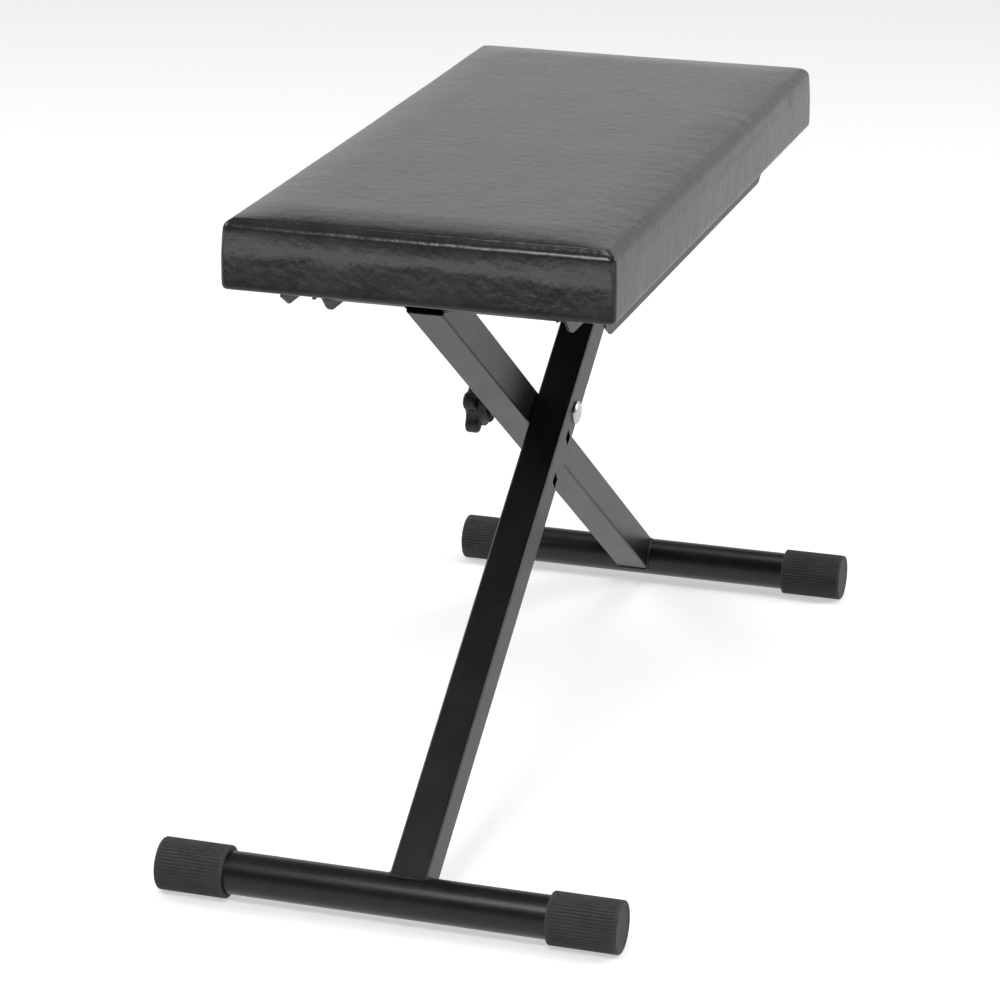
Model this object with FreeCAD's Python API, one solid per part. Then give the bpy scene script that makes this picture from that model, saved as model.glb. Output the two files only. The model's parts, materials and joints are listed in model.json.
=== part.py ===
"""Folding keyboard bench: a padded seat on two crossed square legs with round foot bars.

Frame: millimetres, +Z up, origin on the floor under the middle of the bench, +X along the seat.
The front leg runs from the left foot bar (-X) up to the right end of the seat, and the back leg
from the right foot bar (+X) up to the left end. A bolt with a star knob joins them where they cross.
"""
import FreeCAD, Part
import math
import os

Vec = FreeCAD.Vector

# Cushion, measured at its straight edges
seat_length = 598.0
seat_width = 287.0
cushion_height = 50.5
cushion_crown = 4.0
cushion_corner = 13.0
cushion_top_round = 10.7
cushion_bottom_round = 8.5
side_draw = 1.6
side_bow = 1.2
crown_flat_share = 0.38
cover_thickness = 1.2
hem_thickness = 1.5
hem_width = 20.0
foam_clearance = 0.2

# Seat board and the staples that hold the hem
board_thickness = 12.0
board_margin = 1.3
staple_length = 11.0
staple_width = 1.3
staple_height = 0.6
staple_inset = 15.5
staple_pitch = 44.0

# Channel rails under the board, open downwards
rail_width = 32.0
rail_side_inset = 22.5
rail_end_inset = 44.0
rail_wall = 2.0
rail_bend = 3.0
inner_flange_depth = 34.0
outer_flange_depth = 30.0
inner_end_depth = 16.0
ear_inset = 23.0
ear_round = 20.0
outer_left_inset = 15.0
outer_right_inset = 27.0
outer_corner_cut = 9.0
pivot_inset = 30.0
pivot_headroom = 0.7
rail_screw_inset = 90.0
rail_screw_count = 4
rail_screw_radius = 2.1
rail_screw_head_radius = 4.3
rail_screw_head_height = 2.4
rail_screw_depth = 10.0

# Legs, one square tube each
leg_size = 28.0
leg_wall = 1.5
leg_corner = 1.8
leg_gap = 1.0
leg_length = 711.65
lean_degrees = 34.64
weld_size = 3.0

# Square height holes in the legs, off the middle line of the tube
height_hole_size = 9.0
height_hole_offset = 4.4
first_hole_step = 25.0
second_hole_step = 42.0

# Crossbars on top of the legs, and the shoulder bolts that pivot in the rails
crossbar_radius = 9.5
crossbar_wall = 1.5
plug_length = 15.0
plug_thread_radius = 4.0
pivot_radius = 5.0
pivot_head_across_flats = 15.0
pivot_head_height = 5.0
pivot_thread_length = 12.0
pivot_washer_thickness = 1.5
open_slot_drop = 2.4

# Foot bars and their ribbed rubber caps
foot_radius = 15.9
foot_wall = 1.5
foot_length = 346.5
cap_radius = 19.4
cap_length = 52.2
cap_end_wall = 3.5
cap_edge_round = 1.6
cap_lip_bevel = 1.2
cap_rib_count = 48
cap_rib_depth = 0.6
cap_rib_margin = 1.8
cap_rib_crest_share = 0.62
cap_flat_depth = 0.6

# Carriage bolt through both legs
bolt_radius = 4.0
bolt_length = 75.0
bolt_tip_bevel = 0.8
bolt_head_radius = 9.0
bolt_head_height = 4.2
bolt_head_rim = 0.8
bolt_neck_clearance = 0.1
bolt_neck_length = 4.5
spacer_radius = 13.0

# Star knob with a threaded insert
knob_washer_radius = 12.0
knob_washer_thickness = 1.6
knob_neck_radius = 8.7
knob_neck_length = 9.0
knob_hub_radius = 14.5
knob_back_rise = 7.0
knob_radius = 25.0
knob_valley_radius = 17.0
knob_lobe_radius = 7.0
knob_lobe_count = 5
knob_lobe_angle = 160.0
knob_lobe_thickness = 10.6
knob_edge_round = 2.4
insert_across_flats = 11.0
insert_length = 17.5
insert_end_wall = 0.6

# Clearances
running_clearance = 0.05
face_clearance = 0.1
screw_clearance = 0.02
fit_clearance = 0.02

# Sizes that follow from the ones above
lean = math.radians(lean_degrees)
rail_outer_y = seat_width / 2 - rail_side_inset
rail_inner_y = rail_outer_y - rail_width
rail_half_length = seat_length / 2 - rail_end_inset
ear_half_length = rail_half_length - ear_inset
pivot_x = rail_half_length - pivot_inset
pivot_to_crossing = pivot_x / math.cos(lean)
pivot_below_board = max(crossbar_radius + weld_size, leg_size / 2) + pivot_headroom
foot_z = cap_radius - cap_flat_depth
pivot_z = foot_z + leg_length * math.sin(lean)
foot_x = leg_length * math.cos(lean) - pivot_x
crossing_z = pivot_z - pivot_to_crossing * math.sin(lean)
bolt_x = height_hole_offset / math.sin(lean)
bolt_shift = bolt_x * math.cos(lean)
leg_y = leg_gap / 2 + leg_size / 2
leg_outer_y = leg_gap / 2 + leg_size
board_z = pivot_z + pivot_below_board
cushion_z = board_z - hem_thickness
web_z = board_z - rail_wall
board_inset = cushion_bottom_round + cover_thickness + board_margin
crossbar_end_y = rail_inner_y - pivot_washer_thickness - face_clearance
pivot_hole_radius = pivot_radius + running_clearance
screw_y = (rail_inner_y + rail_outer_y) / 2
head_washer_y = leg_outer_y + running_clearance
knob_base_y = head_washer_y + knob_washer_thickness + running_clearance


def extruded(wire, vector):
    """A solid prism on a closed flat wire."""
    return Part.Face(wire).extrude(vector)


def joined(shapes):
    """One shape fused from many, with seams between coplanar faces removed."""
    result = shapes[0]
    for shape in shapes[1:]:
        result = result.fuse(shape)
    return result.removeSplitter()


def rod(radius, start, direction, length):
    """A round bar from a start point."""
    return Part.makeCylinder(radius, length, start, direction)


def y_rod(radius, x, z, y_from, y_to):
    """A round bar along Y."""
    return rod(radius, Vec(x, y_from, z), Vec(0, 1, 0), y_to - y_from)


def y_ring(outer_radius, inner_radius, x, z, y_from, y_to):
    """A round ring or tube along Y."""
    return y_rod(outer_radius, x, z, y_from, y_to).cut(y_rod(inner_radius, x, z, y_from - 1, y_to + 1))


def rounded_wire(corners, place):
    """A closed outline with tangent arcs. Each corner is (a, b, radius); place maps (a, b) to space."""
    edges = []
    points = [FreeCAD.Vector(a, b, 0) for a, b, radius in corners]
    starts = []
    ends = []
    middles = []
    for index, (a, b, radius) in enumerate(corners):
        here = points[index]
        back = (points[index - 1] - here).normalize()
        ahead = (points[(index + 1) % len(points)] - here).normalize()
        if radius == 0:
            starts.append(here)
            ends.append(here)
            middles.append(None)
            continue
        half = back.getAngle(ahead) / 2
        reach = radius / math.tan(half)
        bisector = (back + ahead).normalize()
        starts.append(here + back * reach)
        ends.append(here + ahead * reach)
        middles.append(here + bisector * (radius / math.sin(half) - radius))
    for index in range(len(points)):
        first = ends[index - 1]
        last = starts[index]
        if first.distanceToPoint(last) > 1e-6:
            edges.append(Part.makeLine(place(first.x, first.y), place(last.x, last.y)))
        if middles[index] is not None:
            arc = [place(p.x, p.y) for p in (starts[index], middles[index], ends[index])]
            edges.append(Part.Arc(arc[0], arc[1], arc[2]).toShape())
    return Part.Wire(edges)


def in_xz(y):
    """Maps an outline to the plane at this y."""
    return lambda a, b: Vec(a, y, b)


def in_yz(x):
    """Maps an outline to the plane at this x."""
    return lambda a, b: Vec(x, a, b)


def in_xy(z):
    """Maps an outline to the plane at this z."""
    return lambda a, b: Vec(a, b, z)


def rectangle(low_a, high_a, low_b, high_b, radius):
    """Corners of a rounded rectangle for rounded_wire."""
    return [(low_a, low_b, radius), (high_a, low_b, radius), (high_a, high_b, radius), (low_a, high_b, radius)]


def cushion_outline(inset, bow, corner, z):
    """Plan of the cushion at one height: four bowed sides and four corner arcs."""
    half_length = seat_length / 2 - inset
    half_width = seat_width / 2 - inset
    corner_middle = corner * (1 - math.sqrt(0.5))
    edges = []
    sides = [
        (half_length, half_width, 0),
        (half_width, half_length, 90),
        (half_length, half_width, 180),
        (half_width, half_length, 270),
    ]
    for reach, span, turn in sides:
        side = [
            Vec(reach, -span + corner, z),
            Vec(reach - bow, 0, z),
            Vec(reach, span - corner, z),
        ]
        bend = [
            Vec(reach, span - corner, z),
            Vec(reach - corner_middle, span - corner_middle, z),
            Vec(reach - corner, span, z),
        ]
        for three in (side, bend):
            arc = Part.Arc(three[0], three[1], three[2]).toShape()
            arc.rotate(Vec(0, 0, z), Vec(0, 0, 1), turn)
            edges.append(arc)
    return Part.Wire(edges)


def cushion_profile():
    """Inset and height of each plan section: bottom round, drawn-in side, top round and crown."""
    edge_top = cushion_z + cushion_height
    profile = []
    for step in range(4):
        angle = math.pi / 2 * step / 3
        inset = cushion_bottom_round * (1 - math.sin(angle))
        profile.append((inset, cushion_z + cushion_bottom_round * (1 - math.cos(angle))))
    side_low = cushion_z + cushion_bottom_round
    side_high = edge_top - cushion_top_round
    for share in (0.25, 0.5, 0.75):
        profile.append((side_draw * math.sin(math.pi * share), side_low + (side_high - side_low) * share))
    for step in range(5):
        angle = math.pi / 2 * step / 4
        inset = cushion_top_round * (1 - math.cos(angle))
        profile.append((inset, side_high + cushion_top_round * math.sin(angle)))
    crown_end = seat_width * crown_flat_share
    for share in (0.2, 0.45, 0.7, 1.0):
        inset = cushion_top_round + (crown_end - cushion_top_round) * share
        profile.append((inset, edge_top + cushion_crown * math.sin(math.pi / 2 * share)))
    return profile


def cushion_form(skin):
    """The padded form, drawn in at the sides and crowned on top, with this much skin taken off."""
    low = cushion_z + (hem_thickness if skin else 0)
    shrink = (cushion_z + cushion_height - skin - low) / cushion_height
    wires = []
    for inset, height in cushion_profile():
        level = low + (height - cushion_z) * shrink
        wires.append(cushion_outline(inset + skin, side_bow, cushion_corner, level))
    return Part.makeLoft(wires, True, True)


def plan_slab(inset, low, high):
    """A slab with the plan of the seat, less an inset."""
    half_length = seat_length / 2 - inset
    half_width = seat_width / 2 - inset
    wire = rounded_wire(
        rectangle(-half_length, half_length, -half_width, half_width, cushion_corner), in_xy(low)
    )
    return extruded(wire, Vec(0, 0, high - low))


def screw_places():
    """Centres of the rail screws."""
    last = rail_half_length - rail_screw_inset
    spacing = 2 * last / (rail_screw_count - 1)
    return [
        (spacing * step - last, side * screw_y)
        for side in (-1, 1)
        for step in range(rail_screw_count)
    ]


def staple_places():
    """Centres and directions of the staples round the hem."""
    places = []
    along = seat_length / 2 - staple_inset
    across = seat_width / 2 - staple_inset
    for reach, span, turn in ((along, across, 90), (across, along, 0)):
        count = int(2 * (span - staple_pitch / 2) / staple_pitch)
        for step in range(count + 1):
            offset = (step - count / 2) * staple_pitch
            for side in (-1, 1):
                x, y = (offset, side * reach) if turn == 0 else (side * reach, offset)
                places.append((x, y, turn))
    return places


def make_cover():
    """The upholstery skin, open below inside its stapled hem."""
    window = plan_slab(hem_width, cushion_z - 1, board_z)
    return cushion_form(0).cut(cushion_form(cover_thickness)).cut(window)


def make_foam():
    """The foam block, which wraps round the edge of the board."""
    pad = cushion_form(cover_thickness + foam_clearance)
    return pad.cut(plan_slab(board_inset, board_z - 1, board_z + board_thickness))


def make_board():
    """The plywood board with pilot holes for the rail screws."""
    board = plan_slab(board_inset, board_z, board_z + board_thickness)
    for x, y in screw_places():
        pilot = rod(rail_screw_radius, Vec(x, y, board_z - 1), Vec(0, 0, 1), rail_screw_depth + 1)
        board = board.cut(pilot)
    return board


def make_staples():
    """Staple crowns pressed on the hem."""
    crowns = []
    for x, y, turn in staple_places():
        crown = Part.makeBox(
            staple_length, staple_width, staple_height,
            Vec(-staple_length / 2, -staple_width / 2, cushion_z - staple_height),
        )
        crown.rotate(Vec(0, 0, 0), Vec(0, 0, 1), turn)
        crown.translate(Vec(x, y, 0))
        crowns.append(crown)
    return Part.makeCompound(crowns)


def flange_end_cut(y_low, y_high, outline):
    """A cutter that trims one flange to a side outline."""
    return extruded(rounded_wire(outline, in_xz(y_low)), Vec(0, y_high - y_low, 0))


def make_rail():
    """The channel on the +Y side, with a pivot hole at the left end and an open slot at the right."""
    depth = inner_flange_depth
    low = board_z - depth
    outer_low = board_z - outer_flange_depth
    section = [
        (rail_inner_y, low, 0),
        (rail_inner_y + rail_wall, low, 0),
        (rail_inner_y + rail_wall, web_z, rail_bend - rail_wall),
        (rail_outer_y - rail_wall, web_z, rail_bend - rail_wall),
        (rail_outer_y - rail_wall, outer_low, 0),
        (rail_outer_y, outer_low, 0),
        (rail_outer_y, board_z, rail_bend),
        (rail_inner_y, board_z, rail_bend),
    ]
    start = -rail_half_length
    rail = extruded(rounded_wire(section, in_yz(start)), Vec(2 * rail_half_length, 0, 0))
    middle_y = (rail_inner_y + rail_outer_y) / 2
    beyond = rail_half_length + 10
    below = low - 10
    end_z = board_z - inner_end_depth
    slope = inner_flange_depth - inner_end_depth
    for side in (-1, 1):
        outline = [
            (side * beyond, end_z, 0),
            (side * (ear_half_length + slope / 2), end_z, ear_round),
            (side * (ear_half_length - slope / 2), low, ear_round),
            (side * (ear_half_length - 3 * slope), low, 0),
            (side * (ear_half_length - 3 * slope), below, 0),
            (side * beyond, below, 0),
        ]
        rail = rail.cut(flange_end_cut(rail_inner_y - 1, middle_y, outline))
    bend_z = board_z - rail_bend
    for side, inset in ((-1, outer_left_inset), (1, outer_right_inset)):
        stop = side * (rail_half_length - inset)
        outline = [
            (side * beyond, bend_z, 0),
            (stop, bend_z, 0),
            (stop, outer_low + outer_corner_cut, 0),
            (stop - side * 1.6 * outer_corner_cut, outer_low, 0),
            (stop - side * 1.6 * outer_corner_cut, below, 0),
            (side * beyond, below, 0),
        ]
        rail = rail.cut(flange_end_cut(middle_y, rail_outer_y + 1, outline))
    rail = rail.cut(y_rod(pivot_hole_radius, -pivot_x, pivot_z, rail_inner_y - 1, middle_y))
    slot = y_rod(pivot_hole_radius, pivot_x, pivot_z, rail_inner_y - 1, middle_y).fuse(
        Part.makeBox(
            beyond - pivot_x, middle_y - rail_inner_y + 1, 2 * pivot_hole_radius + open_slot_drop,
            Vec(pivot_x, rail_inner_y - 1, pivot_z - pivot_hole_radius - open_slot_drop),
        )
    )
    rail = rail.cut(slot)
    for x, y in screw_places():
        if y > 0:
            rail = rail.cut(rod(rail_screw_radius, Vec(x, y, web_z - 1), Vec(0, 0, 1), rail_wall + 2))
    return rail


def mirrored_y(shape):
    """The same piece on the other side of the XZ plane."""
    return shape.mirror(Vec(0, 0, 0), Vec(0, 1, 0))


def make_rail_screws():
    """Pan-head screws up through both rails into the board."""
    screws = []
    for x, y in screw_places():
        shank = rod(
            rail_screw_radius - screw_clearance, Vec(x, y, web_z), Vec(0, 0, 1),
            rail_wall + rail_screw_depth - screw_clearance,
        )
        head = Part.makeSphere(
            (rail_screw_head_radius ** 2 + rail_screw_head_height ** 2) / (2 * rail_screw_head_height),
            Vec(x, y, web_z - rail_screw_head_height
                + (rail_screw_head_radius ** 2 + rail_screw_head_height ** 2) / (2 * rail_screw_head_height)),
        ).common(rod(rail_screw_head_radius, Vec(x, y, web_z), Vec(0, 0, -1), rail_screw_head_height))
        screws.append(shank.fuse(head))
    return Part.makeCompound(screws)


def lean_back(shape):
    """Places a piece drawn along +X from the pivot as part of the back leg."""
    shape.rotate(Vec(0, 0, 0), Vec(0, 1, 0), lean_degrees)
    shape.translate(Vec(-pivot_x, 0, pivot_z))
    return shape


def turned(shape):
    """The same piece turned half round the middle of the bench, from the back leg to the front leg."""
    copy = shape.copy()
    copy.rotate(Vec(0, 0, 0), Vec(0, 0, 1), 180)
    return copy


def square_bar(size, corner, start, end):
    """A square bar along +X at the leg's place, before it leans."""
    half = size / 2
    wire = rounded_wire(rectangle(leg_y - half, leg_y + half, -half, half, corner), in_yz(start))
    return extruded(wire, Vec(end - start, 0, 0))


def make_leg_tube(along, above):
    """The leg's tube, coped to its crossbar and foot bar. The bolt's hole is at (along, above)."""
    outside = square_bar(leg_size, leg_corner, 0, leg_length)
    inside = square_bar(leg_size - 2 * leg_wall, leg_corner - leg_wall, -1, leg_length + 1)
    tube = outside.cut(inside)
    tube = tube.cut(y_rod(crossbar_radius, 0, 0, 0, leg_size + leg_gap))
    tube = tube.cut(y_rod(foot_radius, leg_length, 0, 0, leg_size + leg_gap))
    half = height_hole_size / 2
    for step in (0, first_hole_step, first_hole_step + second_hole_step):
        corner = Vec(along + step - half, 0, above - half)
        tube = tube.cut(Part.makeBox(height_hole_size, leg_size + leg_gap, height_hole_size, corner))
    return lean_back(tube)


def make_leg_welds():
    """Fillet welds where the leg's tube meets its crossbar and its foot bar."""
    beads = []
    for radius, at, start, end in (
        (crossbar_radius, 0, 0, crossbar_radius + weld_size),
        (foot_radius, leg_length, leg_length - foot_radius - weld_size, leg_length),
    ):
        collar = square_bar(leg_size + weld_size, leg_corner + weld_size / 2, start, end)
        collar = collar.cut(square_bar(leg_size, leg_corner, start - 1, end + 1))
        skin = y_ring(radius + weld_size, radius, at, 0, 0, leg_size + 2 * weld_size)
        bead = collar.common(skin)
        beads.append(bead.cut(Part.makeBox(
            2 * leg_length, weld_size, leg_size * 2, Vec(-1, leg_gap / 2 - weld_size, -leg_size)
        )))
    solids = []
    for bead in beads:
        solids.extend(bead.Solids)
    return lean_back(Part.makeCompound(solids))


def make_crossbar():
    """The round tube on top of the back leg."""
    return y_ring(
        crossbar_radius, crossbar_radius - crossbar_wall, -pivot_x, pivot_z, -crossbar_end_y, crossbar_end_y
    )


def make_crossbar_plugs():
    """Threaded plugs in both ends of the crossbar."""
    plug = y_ring(
        crossbar_radius - crossbar_wall, plug_thread_radius, -pivot_x, pivot_z,
        crossbar_end_y - plug_length, crossbar_end_y,
    )
    return Part.makeCompound([plug, mirrored_y(plug)])


def make_pivot_washers():
    """Plastic washers between the crossbar and the rails."""
    washer = y_ring(
        crossbar_radius, pivot_radius + running_clearance, -pivot_x, pivot_z,
        crossbar_end_y, crossbar_end_y + pivot_washer_thickness,
    )
    return Part.makeCompound([washer, mirrored_y(washer)])


def hexagon(across_flats, x, z, y_from, y_to):
    """A hexagonal bar along Y."""
    reach = across_flats / 2 / math.cos(math.pi / 6)
    corners = [
        (x + reach * math.cos(step * math.pi / 3), z + reach * math.sin(step * math.pi / 3), 0)
        for step in range(6)
    ]
    return extruded(rounded_wire(corners, in_xz(y_from)), Vec(0, y_to - y_from, 0))


def make_pivot_bolts():
    """Shoulder bolts that turn in the inner flanges, screwed into the plugs."""
    head_y = rail_inner_y + rail_wall + face_clearance
    bolt = joined([
        y_rod(plug_thread_radius - screw_clearance, -pivot_x, pivot_z,
              crossbar_end_y - pivot_thread_length, crossbar_end_y),
        y_rod(pivot_radius, -pivot_x, pivot_z, crossbar_end_y, head_y),
        hexagon(pivot_head_across_flats, -pivot_x, pivot_z, head_y, head_y + pivot_head_height),
    ])
    return Part.makeCompound([bolt, mirrored_y(bolt)])


def make_foot_bar():
    """The round foot bar of the back leg."""
    half = foot_length / 2 - cap_end_wall
    return y_ring(foot_radius, foot_radius - foot_wall, foot_x, foot_z, -half, half)


def make_foot_cap():
    """The ribbed rubber cap on the foot bar's +Y end, flattened where it stands on the floor."""
    end = foot_length / 2
    mouth = end - cap_length
    bore = foot_radius + fit_clearance
    core = cap_radius - cap_rib_depth
    profile = [
        (0, end, 0),
        (core, end, cap_edge_round),
        (core, mouth, cap_edge_round),
        (bore + cap_lip_bevel, mouth, 0),
        (bore, mouth + cap_lip_bevel, 0),
        (bore, end - cap_end_wall, 0),
        (0, end - cap_end_wall, 0),
    ]
    wire = rounded_wire(profile, lambda a, b: Vec(foot_x + a, b, foot_z))
    cup = Part.Face(wire).revolve(Vec(foot_x, 0, foot_z), Vec(0, 1, 0), 360)
    pitch = 2 * math.pi / cap_rib_count
    crest = pitch * cap_rib_crest_share / 2
    foot = pitch / 2 - (pitch / 2 - crest) * 0.55
    corners = []
    for rib in range(cap_rib_count):
        middle = rib * pitch - math.pi / 2
        for angle, radius in ((-foot, core), (-crest, cap_radius), (crest, cap_radius), (foot, core)):
            corners.append((
                foot_x + radius * math.cos(middle + angle), foot_z + radius * math.sin(middle + angle), 0
            ))
    ribs = extruded(
        rounded_wire(corners, in_xz(mouth + cap_rib_margin)), Vec(0, cap_length - 2 * cap_rib_margin, 0)
    )
    ribs = ribs.cut(y_rod(bore + cap_rib_depth, foot_x, foot_z, mouth, end - cap_end_wall))
    cap = cup.fuse(ribs)
    floor = Part.makeBox(
        4 * cap_radius, 2 * cap_length, cap_radius,
        Vec(foot_x - 2 * cap_radius, mouth - cap_length / 2, -cap_radius),
    )
    return cap.cut(floor)


def bolt_rod(radius, y_from, y_to):
    """A round bar on the bolt's axis."""
    return y_rod(radius, bolt_x, crossing_z, y_from, y_to)


def make_carriage_bolt():
    """The bolt through both legs, with a domed head and a square neck in the front leg."""
    seat = -leg_outer_y
    tip = seat + bolt_length
    neck = (height_hole_size - 2 * bolt_neck_clearance) / 2
    rim_y = seat - bolt_head_rim
    dome_top = seat - bolt_head_height
    sag = bolt_head_height - bolt_head_rim
    dome_radius = (bolt_head_radius ** 2 + sag ** 2) / (2 * sag)
    swing = math.asin(bolt_head_radius / dome_radius) / 2
    dome_middle = Vec(
        bolt_x + dome_radius * math.sin(swing), dome_top + dome_radius * (1 - math.cos(swing)), crossing_z
    )
    corner_points = [
        Vec(bolt_x, dome_top, crossing_z),
        Vec(bolt_x + bolt_head_radius, rim_y, crossing_z),
        Vec(bolt_x + bolt_head_radius, seat, crossing_z),
        Vec(bolt_x + bolt_radius, seat, crossing_z),
        Vec(bolt_x + bolt_radius, tip - bolt_tip_bevel, crossing_z),
        Vec(bolt_x + bolt_radius - bolt_tip_bevel, tip, crossing_z),
        Vec(bolt_x, tip, crossing_z),
    ]
    edges = [Part.Arc(corner_points[0], dome_middle, corner_points[1]).toShape()]
    loop = corner_points[1:] + corner_points[:1]
    for first, last in zip(loop[:-1], loop[1:]):
        edges.append(Part.makeLine(first, last))
    turned_body = Part.Face(Part.Wire(edges)).revolve(
        Vec(bolt_x, 0, crossing_z), Vec(0, 1, 0), 360
    )
    square = Part.makeBox(
        2 * neck, bolt_neck_length, 2 * neck, Vec(bolt_x - neck, seat, crossing_z - neck)
    )
    square.rotate(Vec(bolt_x, 0, crossing_z), Vec(0, 1, 0), -lean_degrees)
    return turned_body.fuse(square)


def make_leg_spacer():
    """The thin washer between the two legs, carried by the bolt."""
    half = leg_gap / 2
    return bolt_rod(spacer_radius, -half, half - face_clearance).cut(
        bolt_rod(bolt_radius + running_clearance, -half - 1, half + 1)
    )


def make_knob_washer():
    """The steel washer under the knob."""
    return bolt_rod(knob_washer_radius, head_washer_y, head_washer_y + knob_washer_thickness).cut(
        bolt_rod(bolt_radius + running_clearance, head_washer_y - 1, head_washer_y + knob_washer_thickness + 1)
    )


def make_knob_insert():
    """The brass nut moulded into the knob."""
    end = knob_base_y + insert_length
    return hexagon(insert_across_flats, bolt_x, crossing_z, knob_base_y, end).cut(
        bolt_rod(bolt_radius + running_clearance, knob_base_y - 1, end - insert_end_wall)
    )


def knob_outline(y):
    """The star outline: convex lobes joined by tangent concave valleys."""
    lobe_centre = knob_radius - knob_lobe_radius
    half_pitch = math.pi / knob_lobe_count
    near = knob_valley_radius
    swing = math.cos(half_pitch)
    top = lobe_centre ** 2 + near ** 2 - 2 * lobe_centre * near * swing - knob_lobe_radius ** 2
    valley = top / (2 * (knob_lobe_radius + lobe_centre * swing - near))
    valley_centre = near + valley

    def at(radius, angle):
        turn = math.radians(knob_lobe_angle) + angle
        return Vec(bolt_x + radius * math.cos(turn), y, crossing_z + radius * math.sin(turn))

    edges = []
    for lobe in range(knob_lobe_count):
        angle = 2 * half_pitch * lobe
        centre = at(lobe_centre, angle)
        touches = []
        for side in (-1, 1):
            other = at(valley_centre, angle + side * half_pitch)
            touches.append(centre + (other - centre).normalize() * knob_lobe_radius)
        edges.append(Part.Arc(touches[0], at(knob_radius, angle), touches[1]).toShape())
        next_centre = at(lobe_centre, angle + 2 * half_pitch)
        hollow = at(valley_centre, angle + half_pitch)
        landing = next_centre + (hollow - next_centre).normalize() * knob_lobe_radius
        edges.append(Part.Arc(touches[1], at(near, angle + half_pitch), landing).toShape())
    return Part.Wire(edges)


def make_knob_grip():
    """The moulded star grip with its neck, drilled for the insert."""
    hub_y = knob_base_y + knob_neck_length
    lobe_y = hub_y + knob_back_rise
    star = extruded(knob_outline(lobe_y), Vec(0, knob_lobe_thickness, 0))
    rims = [
        edge for edge in star.Edges
        if abs(edge.BoundBox.YMax - edge.BoundBox.YMin) < 1e-6
    ]
    star = star.makeFillet(knob_edge_round, rims)
    profile = [
        (0, knob_base_y, 0),
        (knob_neck_radius, knob_base_y, 0),
        (knob_neck_radius, hub_y, 1.5),
        (knob_hub_radius, hub_y, 1.5),
        (knob_valley_radius, lobe_y + knob_edge_round, 0),
        (0, lobe_y + knob_edge_round, 0),
    ]
    wire = rounded_wire(profile, lambda a, b: Vec(bolt_x + a, b, crossing_z))
    hub = Part.Face(wire).revolve(Vec(bolt_x, 0, crossing_z), Vec(0, 1, 0), 360)
    socket = hexagon(insert_across_flats, bolt_x, crossing_z, knob_base_y - 1, knob_base_y + insert_length)
    return star.fuse(hub).cut(socket)


def save(name, shape):
    """Writes one piece and prints its solids and volume."""
    solids = shape.Solids
    kept = solids[0] if len(solids) == 1 else Part.makeCompound(solids)
    kept.exportStep("parts/" + name + ".step")
    print(name, len(solids), round(sum(s.Volume for s in solids), 1), kept.isValid())


os.makedirs("parts", exist_ok=True)
save("seat_cover", make_cover())
save("foam_pad", make_foam())
save("seat_board", make_board())
save("cover_staples", make_staples())
back_rail = make_rail()
save("back_rail", back_rail)
save("front_rail", mirrored_y(back_rail))
save("rail_screws", make_rail_screws())

leg_pieces = {
    "leg_welds": make_leg_welds(),
    "leg_crossbar": make_crossbar(),
    "leg_crossbar_plugs": make_crossbar_plugs(),
    "leg_pivot_washers": make_pivot_washers(),
    "leg_pivot_bolts": make_pivot_bolts(),
}
for name, piece in leg_pieces.items():
    save("back_" + name, piece)
    save("front_" + name, turned(piece))
save("back_leg_tube", make_leg_tube(pivot_to_crossing + bolt_shift, height_hole_offset))
save("front_leg_tube", turned(make_leg_tube(pivot_to_crossing - bolt_shift, -height_hole_offset)))

foot_bar = make_foot_bar()
save("right_foot_bar", foot_bar)
save("left_foot_bar", turned(foot_bar))
right_back_cap = make_foot_cap()
right_front_cap = mirrored_y(right_back_cap)
save("right_back_foot_cap", right_back_cap)
save("right_front_foot_cap", right_front_cap)
save("left_front_foot_cap", turned(right_back_cap))
save("left_back_foot_cap", turned(right_front_cap))

save("carriage_bolt", make_carriage_bolt())
save("leg_spacer_washer", make_leg_spacer())
save("knob_washer", make_knob_washer())
save("knob_insert", make_knob_insert())
save("knob_grip", make_knob_grip())

print("lean", round(lean_degrees, 3), "pivot", round(pivot_x, 3), round(pivot_z, 3))
print("foot", round(foot_x, 3), round(foot_z, 3), "bolt", round(bolt_x, 3), round(crossing_z, 3))
print("cushion underside", round(cushion_z, 3), "board", round(board_z, 3))
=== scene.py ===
"""Looks of the folding keyboard bench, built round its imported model.

Metres, +Z up, +X along the seat to the right end, +Y to the back, where the knob is. The camera looks
from the left end. Black leathercloth cushion, powder-coated steel legs and rails, ribbed rubber foot
caps, bright carriage bolt and moulded star knob.
"""
import json
import math

import bpy
import numpy as np
from mathutils import Matrix, Vector


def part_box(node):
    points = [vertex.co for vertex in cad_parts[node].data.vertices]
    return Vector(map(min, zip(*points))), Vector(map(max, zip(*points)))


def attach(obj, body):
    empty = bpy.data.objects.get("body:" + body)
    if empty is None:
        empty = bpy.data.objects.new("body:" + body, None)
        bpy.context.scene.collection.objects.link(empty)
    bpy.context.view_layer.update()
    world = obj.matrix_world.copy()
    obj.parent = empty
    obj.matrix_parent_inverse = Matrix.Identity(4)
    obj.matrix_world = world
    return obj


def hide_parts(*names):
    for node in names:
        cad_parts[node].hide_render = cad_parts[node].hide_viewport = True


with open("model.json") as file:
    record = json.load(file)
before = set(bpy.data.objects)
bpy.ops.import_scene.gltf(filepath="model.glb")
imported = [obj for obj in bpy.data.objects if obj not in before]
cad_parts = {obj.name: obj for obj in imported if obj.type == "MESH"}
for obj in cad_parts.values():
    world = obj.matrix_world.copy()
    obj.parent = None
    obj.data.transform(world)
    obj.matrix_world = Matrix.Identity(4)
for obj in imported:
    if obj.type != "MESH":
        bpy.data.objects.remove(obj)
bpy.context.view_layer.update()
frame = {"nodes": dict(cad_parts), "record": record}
MM = 0.001


# Camera, fitted to the photograph's edges

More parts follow.
